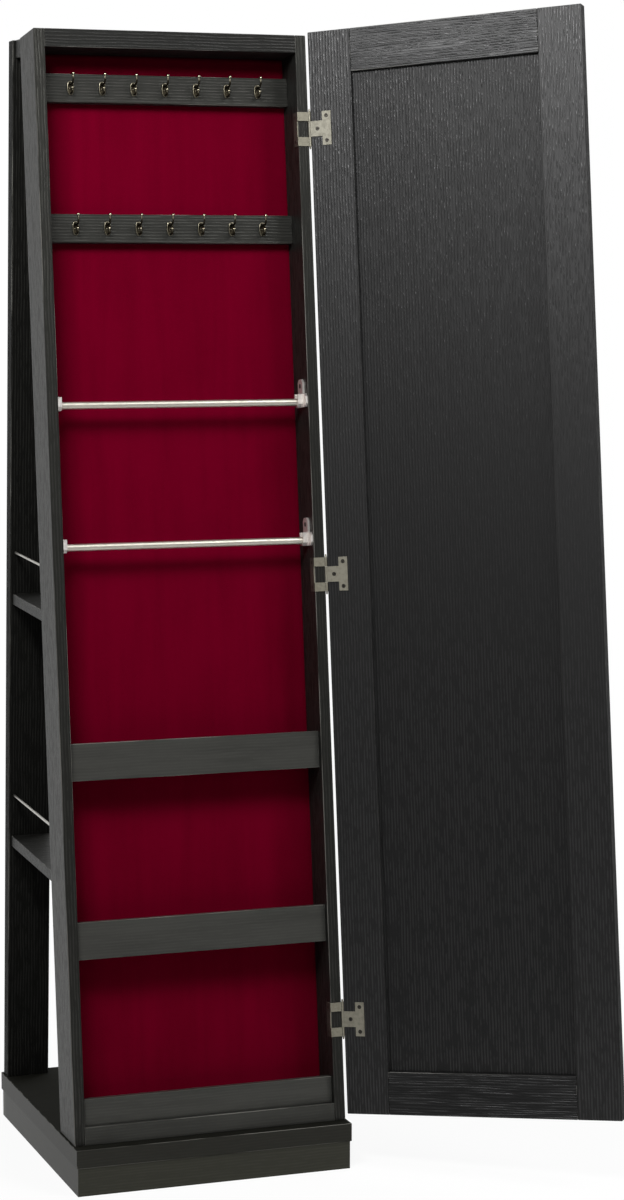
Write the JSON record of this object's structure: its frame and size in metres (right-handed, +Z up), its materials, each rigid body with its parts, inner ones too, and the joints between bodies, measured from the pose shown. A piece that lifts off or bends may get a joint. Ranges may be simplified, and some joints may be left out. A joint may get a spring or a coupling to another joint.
{
  "type": "leaning jewelry cabinet with mirror door",
  "caption": "Tall leaning jewelry cabinet on a plinth with a hinged mirror door, velvet-lined interior with hooks, rods and pockets, and open display shelves behind.",
  "frame": {"origin": "on the floor under the centre of the plinth", "axes": "+Z up, +X to the right of a person facing the cabinet's front, +Y away from them"},
  "size_m": [0.6932, 0.6256, 1.5596],
  "materials": {
    "black_ash": "satin black wood-grain foil",
    "raw_board": "bare fibreboard",
    "crimson_velvet": "short-pile velvet",
    "satin_nickel": "satin nickel",
    "brushed_nickel": "brushed nickel",
    "pale_brass": "aged pale brass",
    "antique_brass": "antique brass",
    "dark_steel": "blackened screw heads",
    "mirror_glass": "silvered glass"
  },
  "bodies": {
    "cabinet": {"cabinet_back_panel": "black_ash", "cabinet_bottom_panel": "black_ash", "cabinet_left_side": "black_ash", "cabinet_right_side": "black_ash", "cabinet_top_panel": "black_ash", "display_shelf_lower": "black_ash", "display_shelf_upper": "black_ash", "guard_rod_lower_left": "brushed_nickel", "guard_rod_lower_right": "brushed_nickel", "guard_rod_upper_left": "brushed_nickel", "guard_rod_upper_right": "brushed_nickel", "hinge_lower_pin": "pale_brass", "hinge_lower_wall_leaf": "pale_brass", "hinge_middle_pin": "pale_brass", "hinge_middle_wall_leaf": "pale_brass", "hinge_upper_pin": "pale_brass", "hinge_upper_wall_leaf": "pale_brass", "hook_rail_lower": "black_ash", "hook_rail_upper": "black_ash", "hooks_lower": "antique_brass", "hooks_upper": "antique_brass", "plinth_bearer": "raw_board", "plinth_corner_blocks": "raw_board", "plinth_front_skirt": "black_ash", "plinth_left_skirt": "black_ash", "plinth_rear_skirt": "black_ash", "plinth_right_skirt": "black_ash", "plinth_top_board": "black_ash", "pocket_floor_lower": "black_ash", "pocket_floor_upper": "black_ash", "pocket_lip_base": "black_ash", "pocket_lip_lower": "black_ash", "pocket_lip_upper": "black_ash", "rear_left_stile": "black_ash", "rear_right_stile": "black_ash", "rod_saddle_lower_left": "satin_nickel", "rod_saddle_lower_right": "satin_nickel", "rod_saddle_upper_left": "satin_nickel", "rod_saddle_upper_right": "satin_nickel", "scarf_rod_lower": "satin_nickel", "scarf_rod_upper": "satin_nickel", "top_spacer": "black_ash", "velvet_lining": "crimson_velvet"},
    "door": {"door_backing": "black_ash", "door_bottom_rail": "black_ash", "door_free_stile": "black_ash", "door_hinge_stile": "black_ash", "door_mirror": "mirror_glass", "door_top_rail": "black_ash", "hinge_lower_door_leaf": "pale_brass", "hinge_middle_door_leaf": "pale_brass", "hinge_upper_door_leaf": "pale_brass"}
  },
  "joints": [
    {"name": "door_hinge", "type": "hinge", "parent": "cabinet", "child": "door", "pos_m": [0.1918, -0.1015, 0.80031], "axis": [0, 0.1132, 0.9936], "range_deg": [-141, 39]}
  ]
}
